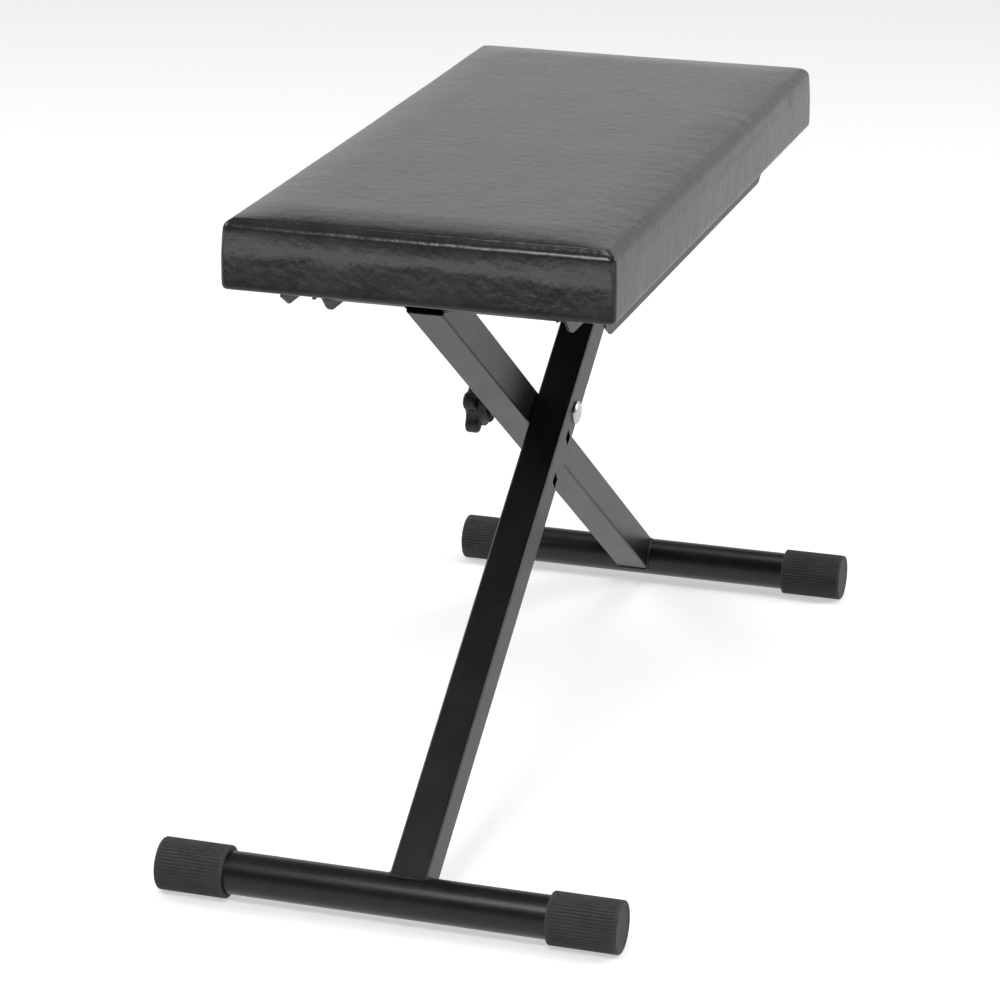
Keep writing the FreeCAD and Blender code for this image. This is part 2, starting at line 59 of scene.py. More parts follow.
camera_place = Vector((-2.5622, -0.7666, 1.1505))
camera_yaw = math.radians(17.28)
camera_pitch = math.radians(19.67)
camera_roll = math.radians(0.25)

ahead = Vector((
    math.cos(camera_pitch) * math.cos(camera_yaw),
    math.cos(camera_pitch) * math.sin(camera_yaw),
    -math.sin(camera_pitch),
))
level_right = Vector((math.sin(camera_yaw), -math.cos(camera_yaw), 0))
level_up = level_right.cross(ahead)
camera_right = math.cos(camera_roll) * level_right + math.sin(camera_roll) * level_up
camera_up = math.cos(camera_roll) * level_up - math.sin(camera_roll) * level_right

lens = bpy.data.cameras.new("camera")
lens.sensor_width = 36.0
lens.lens = 130.13
lens.clip_end = 100.0
camera = bpy.data.objects.new("camera", lens)
turn = Matrix((camera_right, camera_up, -ahead)).transposed()
camera.matrix_world = Matrix.Translation(camera_place) @ turn.to_4x4()
bpy.context.scene.collection.objects.link(camera)
bpy.context.scene.camera = camera
bpy.context.scene.view_settings.view_transform = "Standard"


# Meshes from arrays

def outward(points, faces):
    """Turns every face over if the enclosed volume, the sum of origin-to-face tetrahedra, is negative."""
    volume = 0.0
    for size in (3, 4):
        same = np.array([face for face in faces if len(face) == size], int)
        if not len(same):
            continue
        for step in range(1, size - 1):
            a, b, c = points[same[:, 0]], points[same[:, step]], points[same[:, step + 1]]
            volume += (a * np.cross(b, c)).sum()
    return [face[::-1] for face in faces] if volume < 0 else faces


def piece_from(name, points, faces, sharp):
    """A linked object with smooth shading that breaks at edges sharper than this many degrees."""
    points = np.asarray(points, float)
    mesh = bpy.data.meshes.new(name)
    mesh.from_pydata(points.tolist(), [], outward(points, faces))
    mesh.shade_smooth()
    mesh.set_sharp_from_angle(angle=math.radians(sharp))
    piece = bpy.data.objects.new(name, mesh)
    bpy.context.scene.collection.objects.link(piece)
    return piece


def grid_faces(rows, around, closed):
    """Quads between neighbouring rows of a grid, and from each row's last point to its first if closed."""
    here = np.arange(around if closed else around - 1)[None, :]
    next_one = (here + 1) % around
    row = np.arange(rows - 1)[:, None] * around
    quads = np.stack([row + here, row + next_one, row + around + next_one, row + around + here], -1)
    return quads.reshape(-1, 4)


def skin_of_rings(rings):
    """Points and faces of a stack of closed rings, each end shut by a fan to the middle of its ring."""
    rings = np.asarray(rings, float)
    count, around = rings.shape[:2]
    points = np.vstack([rings.reshape(-1, 3), rings[[0, -1]].mean(axis=1)])
    here = np.arange(around)
    next_one = (here + 1) % around
    last = (count - 1) * around
    faces = grid_faces(count, around, True).tolist()
    faces += np.stack([next_one, here, np.full(around, count * around)], -1).tolist()
    faces += np.stack([last + here, last + next_one, np.full(around, count * around + 1)], -1).tolist()
    return points, faces


def ring_piece(name, rings, sharp):
    """One closed piece from a stack of rings."""
    points, faces = skin_of_rings(rings)
    return piece_from(name, points, faces, sharp)


def smooth_step(value, low, high):
    """0 below low, 1 above high, and 3t^2 - 2t^3 between."""
    t = np.clip((value - low) / (high - low), 0, 1)
    return t * t * (3 - 2 * t)


def rounded_ring(half_x, half_y, corner, level, runs, bend):
    """A rounded rectangle at one height: four straight runs and four quarter arcs, in order.

    The steps of the runs along X and along Y are in runs, and those of each arc in bend.
    """
    turns = np.linspace(0, np.pi / 2, bend, endpoint=False)
    parts = []
    for quarter in range(4):
        swing = quarter * np.pi / 2
        reach, span, steps = ((half_x, half_y, runs[1]), (half_y, half_x, runs[0]))[quarter % 2]
        run = np.linspace(-span + corner, span - corner, steps, endpoint=False)
        side = np.stack([np.full(steps, reach), run], -1)
        arc = np.stack([
            reach - corner + corner * np.cos(turns),
            span - corner + corner * np.sin(turns),
        ], -1)
        both = np.vstack([side, arc])
        spin = np.array([[math.cos(swing), math.sin(swing)], [-math.sin(swing), math.cos(swing)]])
        parts.append(both @ spin)
    flat = np.vstack(parts)
    return np.column_stack([flat, np.full(len(flat), level)])


# Shader nodes as expressions

class Wire:
    """One socket's output. Python's operators on it add Math nodes."""

    def __init__(self, finish, socket):
        self.finish = finish
        self.socket = socket

    def maths(self, operation, *others):
        return self.finish.node("ShaderNodeMath", {"operation": operation}, [self, *others])

    def __add__(self, other):
        return self.maths("ADD", other)

    def __mul__(self, other):
        return self.maths("MULTIPLY", other)

    def __radd__(self, other):
        return self + other

    def __rmul__(self, other):
        return self * other

    def __rsub__(self, other):
        return self.finish.node("ShaderNodeMath", {"operation": "SUBTRACT"}, [other, self])

    def step(self, low, high):
        """0 below low, 1 above high, smooth between."""
        settings = {"interpolation_type": "SMOOTHSTEP"}
        return self.finish.node("ShaderNodeMapRange", settings, {"Value": self, 1: low, 2: high})

    def maximum(self, other):
        return self.maths("MAXIMUM", other)


class Finish:
    """A node tree that grows by one method, which takes a node's type, settings and inputs."""

    def __init__(self, name, tree=None):
        if tree is None:
            self.material = bpy.data.materials.new(name)
            self.material.use_nodes = True
            tree = self.material.node_tree
        self.tree = tree
        tree.nodes.clear()

    def node(self, kind, settings=None, inputs=(), output=0):
        """Adds a node. Inputs is a list by position or a dict by name or position."""
        made = self.tree.nodes.new(kind)
        for key, value in (settings or {}).items():
            setattr(made, key, value)
        pairs = inputs.items() if isinstance(inputs, dict) else enumerate(inputs)
        for key, value in pairs:
            socket = made.inputs[key]
            if isinstance(value, Wire):
                self.tree.links.new(value.socket, socket)
            elif isinstance(value, tuple) and socket.type == "RGBA":
                socket.default_value = (*value, 1)
            else:
                socket.default_value = value
        return Wire(self, made.outputs[output]) if made.outputs else None

    def place(self, scale=(1, 1, 1), turn=(0, 0, 0)):
        """Object coordinates, turned and scaled."""
        here = self.node("ShaderNodeTexCoord", output="Object")
        return self.node("ShaderNodeMapping", inputs={"Vector": here, "Rotation": turn, "Scale": scale})

    def noise(self, place, scale, detail, rough, warp=0.0):
        return self.node("ShaderNodeTexNoise", inputs={
            "Vector": place, "Scale": scale, "Detail": detail, "Roughness": rough, "Distortion": warp,
        })

    def cells(self, place, scale, feature="F1"):
        return self.node("ShaderNodeTexVoronoi", {"feature": feature}, {"Vector": place, "Scale": scale})

    def blend(self, factor, one, other):
        """The first colour where factor is 0, the other where it is 1."""
        return self.node("ShaderNodeMix", {"data_type": "RGBA"}, {0: factor, 6: one, 7: other}, 2)

    def bump(self, height, depth, strength, under=None):
        """A relief of this depth in metres, on top of another bump if one is given."""
        inputs = {"Height": height, "Distance": depth, "Strength": strength}
        if under is not None:
            inputs["Normal"] = under
        return self.node("ShaderNodeBump", inputs=inputs)

    def surface(self, colour, roughness, normal, metallic=0.0, constants=None):
        """The closing shader. Values that don't vary go in constants, on the shader's own sockets."""
        shader = self.node("ShaderNodeBsdfPrincipled", inputs={
            "Base Color": colour, "Roughness": roughness, "Normal": normal, "Metallic": metallic,
            **(constants or {}),
        })
        self.node("ShaderNodeOutputMaterial", inputs=[shader])
        return self.material


def grey(level):
    """A neutral colour."""
    return (level, level, level)


def leathercloth():
    """Black vinyl leathercloth: pebbled grain, fine crease lines across the seat that are darkened on the
    top by painted shade, soft change of gloss.
    """
    make = Finish("leathercloth")
    plain = make.place()
    across = make.place(scale=(1.0, 0.12, 0.35))
    upright = make.place(scale=(1.0, 1.0, 0.2))
    normal = make.node("ShaderNodeNewGeometry", output="Normal")
    top = make.node("ShaderNodeSeparateXYZ", inputs=[normal], output=2).step(0.35, 0.8)
    pebbles = make.cells(plain, 1150.0, "SMOOTH_F1")
    fine = make.noise(plain, 2400.0, 3.0, 0.6)
    creases_and_painted_shade = make.noise(across, 240.0, 5.0, 0.66, 0.3)
    pulls = make.noise(upright, 120.0, 3.0, 0.55, 0.3)
    clouds = make.noise(plain, 24.0, 4.0, 0.6)
    dents = make.noise(plain, 130.0, 3.0, 0.5)
    relief = make.bump(pebbles * 0.7 + fine * 0.3, 0.00006, 0.5)
    relief = make.bump(creases_and_painted_shade * top + pulls * (1 - top), 0.0004, 0.5, relief)
    relief = make.bump(clouds * 0.6 + dents * 0.4, 0.0022, 0.4, relief)
    colour = make.blend(clouds.step(0.3, 0.7), grey(0.014), grey(0.022))
    # Painted shade: the crease lines on the up-facing top are darkened towards near-black.
    colour = make.blend(creases_and_painted_shade.step(0.6, 0.8) * top * 0.6, colour, grey(0.007))
    gloss = 0.19 + clouds * 0.1 + pebbles * 0.05
    return make.surface(colour, gloss, relief, constants={"IOR": 1.5, "Specular IOR Level": 0.5})


def powder_coat():
    """Black powder coat: orange-peel relief, fine sparkle of dust grains, a little wear in the gloss."""
    make = Finish("powder_coat")
    plain = make.place()
    peel = make.noise(plain, 900.0, 2.0, 0.5)
    grains = make.cells(plain, 1500.0)
    clouds = make.noise(plain, 30.0, 4.0, 0.6)
    dust = make.noise(plain, 700.0, 1.0, 0.4).step(0.66, 0.74)
    relief = make.bump(peel, 0.00012, 0.5)
    relief = make.bump(grains, 0.00003, 0.4, relief)
    colour = make.blend(clouds.step(0.35, 0.7), grey(0.0055), grey(0.0085))
    colour = make.blend(dust * 0.35, colour, grey(0.05))
    gloss = 0.27 + clouds * 0.12 + peel * 0.06
    return make.surface(colour, gloss, relief, constants={"IOR": 1.5})


def weld_finish():
    """Powder coat over a weld: the same black, thicker and lumpier."""
    make = Finish("coated_weld")
    plain = make.place()
    lumps = make.noise(plain, 420.0, 3.0, 0.6)
    peel = make.noise(plain, 1300.0, 2.0, 0.5)
    relief = make.bump(lumps, 0.0009, 0.6)
    relief = make.bump(peel, 0.0001, 0.4, relief)
    colour = make.blend(lumps.step(0.35, 0.7), grey(0.005), grey(0.011))
    return make.surface(colour, 0.3 + lumps * 0.15, relief)


def cap_rubber():
    """Matt black rubber: mould haze, fine pitting and a dusty bloom."""
    make = Finish("cap_rubber")
    plain = make.place()
    haze = make.noise(plain, 60.0, 4.0, 0.6)
    pits = make.noise(plain, 1600.0, 2.0, 0.5)
    marks = make.noise(plain, 240.0, 5.0, 0.65, 0.6).step(0.6, 0.75)
    relief = make.bump(pits, 0.00012, 0.5)
    colour = make.blend(haze.step(0.3, 0.7), grey(0.042), grey(0.06))
    colour = make.blend(marks * 0.35, colour, grey(0.1))
    return make.surface(colour, 0.62 + haze * 0.2, relief)


def knob_plastic():
    """Black moulded nylon: faint flow marks and a fine spark-eroded texture."""
    make = Finish("knob_plastic")
    plain = make.place()
    flow = make.noise(make.place(scale=(1, 0.4, 1)), 45.0, 3.0, 0.5, 0.8)
    texture = make.noise(plain, 2000.0, 2.0, 0.5)
    relief = make.bump(texture, 0.00009, 0.45)
    relief = make.bump(flow, 0.0006, 0.2, relief)
    colour = make.blend(flow.step(0.3, 0.7), grey(0.012), grey(0.02))
    return make.surface(colour, 0.4 + flow * 0.14, relief)


def bright_zinc():
    """Zinc plate: bright, with soft blue-grey clouding, tumbling scratches and fine pits."""
    make = Finish("bright_zinc")
    plain = make.place()
    clouds = make.noise(plain, 220.0, 4.0, 0.6, 0.5)
    scratches = make.noise(make.place(scale=(1, 0.15, 1), turn=(0.5, 0.3, 0.8)), 1800.0, 3.0, 0.6)
    relief = make.bump(scratches, 0.00002, 0.4)
    colour = make.blend(clouds.step(0.35, 0.7), (0.72, 0.73, 0.74), (0.58, 0.6, 0.63))
    return make.surface(colour, 0.2 + clouds * 0.16 + scratches * 0.06, relief, 1.0)


def black_zinc():
    """Black zinc plate on screws and washers: dark metal, rubbed brighter in spots."""
    make = Finish("black_zinc")
    plain = make.place()
    clouds = make.noise(plain, 300.0, 4.0, 0.65)
    rubbed = make.noise(plain, 900.0, 3.0, 0.7).step(0.62, 0.8)
    relief = make.bump(rubbed, 0.00004, 0.4)
    colour = make.blend(clouds.step(0.35, 0.7), grey(0.03), grey(0.065))
    colour = make.blend(rubbed * 0.5, colour, grey(0.22))
    return make.surface(colour, 0.34 + clouds * 0.2, relief, 0.85)


def plain_steel():
    """Turned steel: fine lathe lines round the Y axis and a light oil film."""
    make = Finish("plain_steel")
    lines = make.noise(make.place(scale=(0.05, 1, 0.05)), 2600.0, 2.0, 0.6)
    film = make.noise(make.place(), 150.0, 3.0, 0.5)
    colour = make.blend(film.step(0.3, 0.7), grey(0.42), grey(0.5))
    return make.surface(colour, 0.3 + film * 0.15, make.bump(lines, 0.00003, 0.5), 1.0)


def staple_wire():
    """Galvanised staple wire: soft grey metal with drawn lines."""
    make = Finish("staple_wire")
    spots = make.noise(make.place(), 1200.0, 3.0, 0.6)
    colour = make.blend(spots.step(0.35, 0.7), (0.5, 0.5, 0.52), (0.62, 0.62, 0.63))
    return make.surface(colour, 0.32 + spots * 0.15, make.bump(spots, 0.00003, 0.4), 1.0)


def black_nylon():
    """Washer nylon: near-black, slightly waxy."""
    make = Finish("black_nylon")
    haze = make.noise(make.place(), 400.0, 3.0, 0.5)
    colour = make.blend(haze.step(0.3, 0.7), grey(0.02), grey(0.03))
    return make.surface(colour, 0.42 + haze * 0.12, make.bump(haze, 0.00004, 0.3))


def brass():
    """Brass insert: warm metal with lathe lines and a dull tarnish."""
    make = Finish("brass")
    lines = make.noise(make.place(scale=(0.05, 1, 0.05)), 2200.0, 2.0, 0.6)
    tarnish = make.noise(make.place(), 260.0, 4.0, 0.6)
    colour = make.blend(tarnish.step(0.35, 0.7), (0.72, 0.55, 0.24), (0.5, 0.36, 0.15))
    return make.surface(colour, 0.28 + tarnish * 0.2, make.bump(lines, 0.00003, 0.4), 1.0)


def stained_plywood():
    """Plywood stained black: grain lines along the seat, wandering rings and small pale pores."""
    make = Finish("stained_plywood")
    along = make.place(scale=(0.06, 1, 1))
    wander = make.noise(make.place(scale=(0.5, 1, 1)), 9.0, 3.0, 0.5)
    grain = make.noise(along, 420.0, 5.0, 0.65, 0.3)
    height = make.node("ShaderNodeSeparateXYZ", inputs=[make.place()], output=1)
    rings = (height * 60.0 + wander * 9.0).maths("FRACT")
    pores = make.noise(make.place(scale=(0.12, 1, 1)), 1500.0, 2.0, 0.6).step(0.6, 0.7)
    colour = make.blend(rings.step(0.1, 0.95), (0.024, 0.022, 0.02), (0.04, 0.036, 0.033))
    colour = make.blend(grain.step(0.45, 0.7) * 0.6, colour, (0.014, 0.013, 0.012))
    colour = make.blend(pores * 0.5, colour, (0.07, 0.062, 0.055))
    relief = make.bump(grain, 0.0003, 0.5)
    return make.surface(colour, 0.6 + grain * 0.16, make.bump(pores, -0.0002, 0.4, relief))


def foam_finish():
    """Open-cell foam: pale cells."""
    make = Finish("seat_foam")
    cells = make.cells(make.place(), 700.0)
    colour = make.blend(cells.step(0.2, 0.8), (0.4, 0.38, 0.3), (0.66, 0.63, 0.52))
    return make.surface(colour, 0.9, make.bump(cells, 0.0008, 0.6))


finishes = {
    "vinyl": leathercloth(),
    "foam": foam_finish(),
    "plywood": stained_plywood(),
    "staple_wire": staple_wire(),
    "black_powder_coat": powder_coat(),
    "black_zinc": black_zinc(),
    "plain_steel": plain_steel(),
    "bright_zinc": bright_zinc(),
    "nylon": black_nylon(),
    "rubber": cap_rubber(),
    "knob_plastic": knob_plastic(),
    "brass": brass(),
}
coated_weld = weld_finish()


def dress(piece, body, slot, *replaced, finish=None):
    """Gives a new piece the finish of its slot, or the finish passed in, puts it under its body and hides
    the CAD nodes that it stands for.
    """
    piece.data.materials.clear()
    piece.data.materials.append(finish or finishes[slot])
    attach(piece, body)
    if replaced:
        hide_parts(*replaced)
    return piece


# Materials on the CAD nodes that stay

slot_of = {row["node"]: row["material_slot"] for row in frame["record"]["subparts"]}
for node, piece in frame["nodes"].items():
    finish = coated_weld if node.endswith("welds") else finishes[slot_of[node]]
    piece.data.materials.clear()
    piece.data.materials.append(finish)


# Cushion

seat_low, seat_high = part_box("seat_cover")
board_low, board_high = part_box("seat_board")
half_seat = Vector(((seat_high.x - seat_low.x) / 2, (seat_high.y - seat_low.y) / 2))
edge_top = seat_high.z - 4.0 * MM
crown = 2.8 * MM
crown_reach = 55.0 * MM
top_round = 6.5 * MM
bottom_round = 4.0 * MM
corner_round = 4.5 * MM
hem_reach = 20.0 * MM
hem_thickness = 0.35 * MM
hem_rows = 8
short_run, long_run, bend_run = 34, 70, 6
pressure_frames = 20
held_height = 3.0 * MM
side_band = 9.0 * MM
band_start, band_end = 16.0 * MM, 5.0 * MM


def pad_rings():
    """Rings of the pad from its pocket over the board, round the hem and up the sides to the top's edge.

    Each row of the profile is an inset from the pad's edge and a level: the pocket that the board fills, the
    hem's edge, a quarter-round lower edge, a straight side and a quarter-round upper edge.
    """
    board_inset = seat_high.x - board_high.x - 0.1 * MM
    pocket = board_high.z + 0.1 * MM
    under = board_low.z - 0.03 * MM
    low = seat_low.z
    profile = [(share * half_seat.y, pocket) for share in (0.98, 0.7, 0.4)]
    profile += [(board_inset, pocket), (board_inset, under), (hem_reach, under)]
    profile += [(hem_reach, low + hem_thickness), (hem_reach - hem_thickness, low)]
    profile.append(((hem_reach + bottom_round) / 2, low))
    for angle in np.linspace(0, np.pi / 2, 6):
        profile.append((bottom_round * (1 - math.sin(angle)), low + bottom_round * (1 - math.cos(angle))))
    side_low, side_high = low + bottom_round, edge_top - top_round
    for share in np.linspace(0, 1, 8)[1:-1]:
        profile.append((0.0, side_low + (side_high - side_low) * share))
    for angle in np.linspace(0, np.pi / 2, 7):
        profile.append((top_round * (1 - math.cos(angle)), side_high + top_round * math.sin(angle)))
    rings = []
    for inset, level in profile:
        half_x, half_y = half_seat.x - inset, half_seat.y - inset
        corner = max(corner_round - inset, 0.5 * MM)
        rings.append(rounded_ring(half_x, half_y, corner, level, (long_run, short_run), bend_run))
    return np.array(rings)


def top_patch(ring):
    """The top inside its edge ring: a Coons patch, and the crown's level over it.

    The patch is both pairs of opposite sides blended linearly, less their corners. The level is the crown
    times 1 - (1 - t)^3 for the distance to the ends and again for the distance to the long sides. Gives the
    inside points and a table of point numbers, where the ring's own come first.
    """
    short, far = short_run + bend_run, long_run + bend_run
    around = len(ring)
    start = -(bend_run // 2)
    table = np.zeros((far + 1, short + 1), int)
    table[0] = start + np.arange(short + 1)
    table[:, -1] = start + short + np.arange(far + 1)
    table[-1] = start + 2 * short + far - np.arange(short + 1)
    table[:, 0] = start + around - np.arange(far + 1)
    table %= around
    u = np.linspace(0, 1, far + 1)[1:-1, None, None]
    v = np.linspace(0, 1, short + 1)[None, 1:-1, None]
    ends = (1 - u) * ring[table[0, 1:-1]][None] + u * ring[table[-1, 1:-1]][None]
    sides = (1 - v) * ring[table[1:-1, 0]][:, None] + v * ring[table[1:-1, -1]][:, None]
    corners = (1 - u) * ((1 - v) * ring[table[0, 0]] + v * ring[table[0, -1]])
    corners = corners + u * ((1 - v) * ring[table[-1, 0]] + v * ring[table[-1, -1]])
    inside = ends + sides - corners
    reach = np.stack([half_seat.x - np.abs(inside[..., 0]), half_seat.y - np.abs(inside[..., 1])])
    share = 1 - (1 - np.clip((reach - top_round) / crown_reach, 0, 1)) ** 3
    inside[..., 2] += crown * share[0] * share[1]
    table[1:-1, 1:-1] = around + np.arange(inside[..., 0].size).reshape(inside.shape[:2])
    return inside.reshape(-1, 3), table


def pad_skin(name, rings):
    """A closed skin of rings: a fan shuts the first ring and the crowned patch the last."""
    points, faces = skin_of_rings(rings)
    around = rings.shape[1]
    inside, table = top_patch(rings[-1])
    first = len(points) - 2 - around
    table = np.where(table < around, first + table, table - around + len(points) - 1)
    quads = np.stack([table[:-1, :-1], table[1:, :-1], table[1:, 1:], table[:-1, 1:]], -1).reshape(-1, 4)
    faces = faces[:-around] + quads[:, ::-1].tolist()
    return piece_from(name, np.vstack([points[:-1], inside]), faces, 80.0)


def coordinates(mesh):
    """The mesh's points as an array."""
    flat = np.empty(len(mesh.vertices) * 3)
    mesh.vertices.foreach_get("co", flat)
    return flat.reshape(-1, 3)


def set_coordinates(mesh, points):
    mesh.vertices.foreach_set("co", points.ravel())
    mesh.update()


def point_normals(mesh):
    flat = np.empty(len(mesh.vertices) * 3)
    mesh.vertex_normals.foreach_get("vector", flat)
    return flat.reshape(-1, 3)


def apply_modifiers(piece):
    """Bakes the live modifiers into the mesh."""
    graph = bpy.context.evaluated_depsgraph_get()
    baked = bpy.data.meshes.new_from_object(piece.evaluated_get(graph))
    piece.modifiers.clear()
    piece.data = baked


def calm(values, axis, passes, closed=True):
    """Passes of a quarter, a half and a quarter of each value and its two neighbours along an axis."""
    values = np.moveaxis(values.copy(), axis, 0)
    for _ in range(passes):
        blended = (np.roll(values, 1, 0) + 2 * values + np.roll(values, -1, 0)) / 4
        if closed:
            values = blended
        else:
            values[1:-1] = blended[1:-1]
    return np.moveaxis(values, 0, axis)


def filling(rings, bulge, rise):
    """How far cloth pressure moves the skin that these rings make, with its lowest part held.

    A point may move sideways by bulge and upwards by rise at most.
    """
    skin = pad_skin("pad_skin", rings)
    start = coordinates(skin.data)
    held = skin.vertex_groups.new(name="held")
    fixed = np.nonzero(start[:, 2] < seat_low.z + held_height)[0]
    held.add(fixed.tolist(), 1.0, "REPLACE")
    cloth = skin.modifiers.new("cloth", "CLOTH")
    settings = cloth.settings
    settings.use_pressure = True
    settings.uniform_pressure_force = 0.5
    settings.effector_weights.gravity = 0.0
    settings.vertex_group_mass = "held"
    settings.quality = 5
    settings.mass = 0.35
    settings.tension_stiffness = 40.0
    settings.compression_stiffness = 40.0
    settings.bending_stiffness = 1.2
    scene = bpy.context.scene
    for step in range(1, pressure_frames + 1):
        scene.frame_set(step)
    graph = bpy.context.evaluated_depsgraph_get()
    move = coordinates(skin.evaluated_get(graph).data) - start
    scene.frame_set(1)
    bpy.data.objects.remove(skin)
    for axis, most in ((0, bulge), (1, bulge), (2, rise)):
        move[:, axis] = most * np.tanh(move[:, axis] / most)
    count = rings[:, :, 0].size
    around = rings.shape[1]
    move[:count] = calm(move[:count].reshape(rings.shape), 1, 40).reshape(-1, 3)
    table = top_patch(rings[-1])[1]
    whole = move[np.where(table < around, count - around + table, table - around + count + 1)]
    whole = calm(calm(whole, 0, 14, False), 1, 14, False)
    move[count + 1:] = whole[1:-1, 1:-1].reshape(-1, 3)
    return move


def ripple(first, second, stretch, seed, count=9):
    """A wandering relief between about -1 and 1: a sum of sines in two directions with seeded phases."""
    dice = np.random.default_rng(seed)
    total = np.zeros_like(first)
    for index in range(count):
        pitch = dice.uniform(0.6, 1.7)
        phase, bend_phase = dice.uniform(0, 2 * np.pi, 2)
        bend = dice.uniform(0.5, 1.6) * np.sin(second * stretch * dice.uniform(0.6, 1.5) + bend_phase)
        total += np.sin(first * pitch + phase + bend)
    return total / math.sqrt(count)


def tailor(pad):
    """Pulls the filled pad into the fitted cover.

    The upper half of each side leans in, and the lower half is drawn slightly in between the corners. Faint
    waves run across the top, and pulls run up the sides. Each upper corner has a small tuck.
    """
    points = coordinates(pad.data)
    normals = point_normals(pad.data)
    x, y, z = points.T
    at_side = (np.abs(x) > half_seat.x - side_band) | (np.abs(y) > half_seat.y - side_band)
    outside = at_side | (z > board_high.z + held_height)
    height = np.clip((z - seat_low.z) / (edge_top - seat_low.z), 0, 1)
    near_x = smooth_step(np.abs(x), half_seat.x - band_start, half_seat.x - band_end) * outside
    near_y = smooth_step(np.abs(y), half_seat.y - band_start, half_seat.y - band_end) * outside
    wave_x = 0.47 + 0.04 * ripple(y * 46, z * 0, 1.0, 11)
    wave_y = 0.5 + 0.045 * ripple(x * 38, z * 0, 1.0, 12)
    lean_x = 2.1 * MM * np.clip((height - wave_x) / 0.5, 0, 1.05)
    lean_y = 0.8 * MM * np.clip((height - wave_y) / 0.5, 0, 1.05)
    between_x = 1 - (y / half_seat.y) ** 6
    between_y = 1 - (x / half_seat.x) ** 6
    draw = 0.4 * MM * np.sin(np.pi * np.clip(height / 0.5, 0, 1))
    points[:, 0] -= np.sign(x) * near_x * (lean_x + draw * between_x)
    points[:, 1] -= np.sign(y) * near_y * (lean_y + draw * between_y)
    up = smooth_step(normals[:, 2], 0.5, 0.95) * outside
    side = smooth_step(1 - np.abs(normals[:, 2]), 0.25, 0.8) * outside
    waves = 0.05 * MM * ripple(x * 150, y, 9.0, 3) + 0.14 * MM * ripple(x * 30, y, 7.0, 4)
    lumps = 0.11 * MM * ripple(y * 120, z, 110.0, 5, 14) * near_x * smooth_step(height, 0.3, 0.6)
    pulls = 0.13 * MM * ripple((np.abs(y) * 0.4 + x + 0.35 * z) * 95, z, 26.0, 6, 12) * near_y
    corner = near_x * near_y * smooth_step(height, 0.45, 0.85)
    slant = (half_seat.x - np.abs(x)) - (half_seat.y - np.abs(y))
    tuck = -0.5 * MM * np.exp(-(slant / (1.8 * MM)) ** 2) * corner
    points += normals * (up * waves + side * (lumps + pulls) + tuck)[:, None]
    set_coordinates(pad.data, np.clip(points, seat_low, seat_high))


def seat_cushion():
    """The upholstered pad, filled by a cloth simulation, subdivided once and tailored."""
    rings = pad_rings()
    pad = pad_skin("seat_cushion", rings)
    move = filling(rings[hem_rows:], 0.4 * MM, 1.4 * MM)
    points = coordinates(pad.data)
    skipped = rings[:hem_rows, :, 0].size
    count = rings[hem_rows:, :, 0].size
    points[skipped:skipped + count] += move[:count]
    points[skipped + count + 1:] += move[count + 1:]
    set_coordinates(pad.data, points)
    finer = pad.modifiers.new("finer", "SUBSURF")
    finer.levels = finer.render_levels = 1
    apply_modifiers(pad)
    tailor(pad)
    pad.data.shade_smooth()
    pad.data.set_sharp_from_angle(angle=math.radians(60))
    return pad


cushion = dress(seat_cushion(), "seat", "vinyl", "seat_cover", "foam_pad")


# Ribbed foot caps

foot_x = 360.503 * MM
foot_z = 18.8 * MM
cap_radius = 19.4 * MM
cap_core = 18.8 * MM
cap_bore = 15.93 * MM
cap_length = 52.2 * MM
cap_floor = 3.5 * MM
mouth_round = 1.1 * MM
end_round = 1.7 * MM
cap_far_y = 173.25 * MM
cap_ribs = 48


def cap_rings(x, side):
    """Rings of a foot cap on a bar along Y.

    A row of the profile is a distance from the cap's mouth, a radius, and how deep its grooves are, 0 to 1.
    Round each ring, a groove is a raised cosine wave over half of each rib's share of the turn. Points
    below the floor rise to it, which makes the flat sole.
    """
    wall = cap_length - cap_floor
    profile = [(wall, cap_bore * share, 0) for share in (0.06, 0.6, 0.97)]
    profile += [(wall - 0.5 * MM, cap_bore, 0), (25 * MM, cap_bore, 0), (0.3 * MM, cap_bore, 0)]
    profile += [(0.0, cap_bore + 0.3 * MM, 0), (0.0, cap_radius - mouth_round, 0)]
    for share in np.linspace(0.2, 1, 5):
        angle = share * np.pi / 2
        inset = mouth_round * (1 - math.sin(angle))
        profile.append((mouth_round * (1 - math.cos(angle)), cap_radius - inset, 0))
    for step, deep in ((1.8, 0.15), (2.3, 0.6), (2.9, 0.95), (3.6, 1), (15, 1), (30, 1), (46, 1)):
        profile.append((step * MM, cap_radius, deep))
    for step, deep in ((3.9, 1), (3.2, 0.9), (2.7, 0.5), (2.2, 0.1)):
        profile.append((cap_length - step * MM, cap_radius, deep))
    for share in np.linspace(0, 1, 7):
        angle = share * np.pi / 2
        inset = end_round * (1 - math.cos(angle))
        profile.append((cap_length - end_round * (1 - math.sin(angle)), cap_radius - inset, 0))
    for back, radius in ((0.0, 15.2), (0.12, 14.9), (0.35, 14.6), (0.4, 14.2), (0.4, 8), (0.4, 1)):
        profile.append((cap_length - back * MM, radius * MM, 0))
    turns = np.linspace(0, 2 * np.pi, cap_ribs * 8, endpoint=False)
    phase = np.mod(turns * cap_ribs / (2 * np.pi), 1)
    groove = 0.5 + 0.5 * np.cos(2 * np.pi * np.clip((phase - 0.5) / 0.5, -0.5, 0.5))
    along, radius, deep = (np.array(column)[:, None] for column in zip(*profile))
    reach = radius - (cap_radius - cap_core) * groove * deep
    y = side * (cap_far_y - cap_length + along) + 0 * turns
    z = np.maximum(foot_z + reach * np.sin(turns), 0.0)
    return np.stack([x + reach * np.cos(turns), y, z], -1)


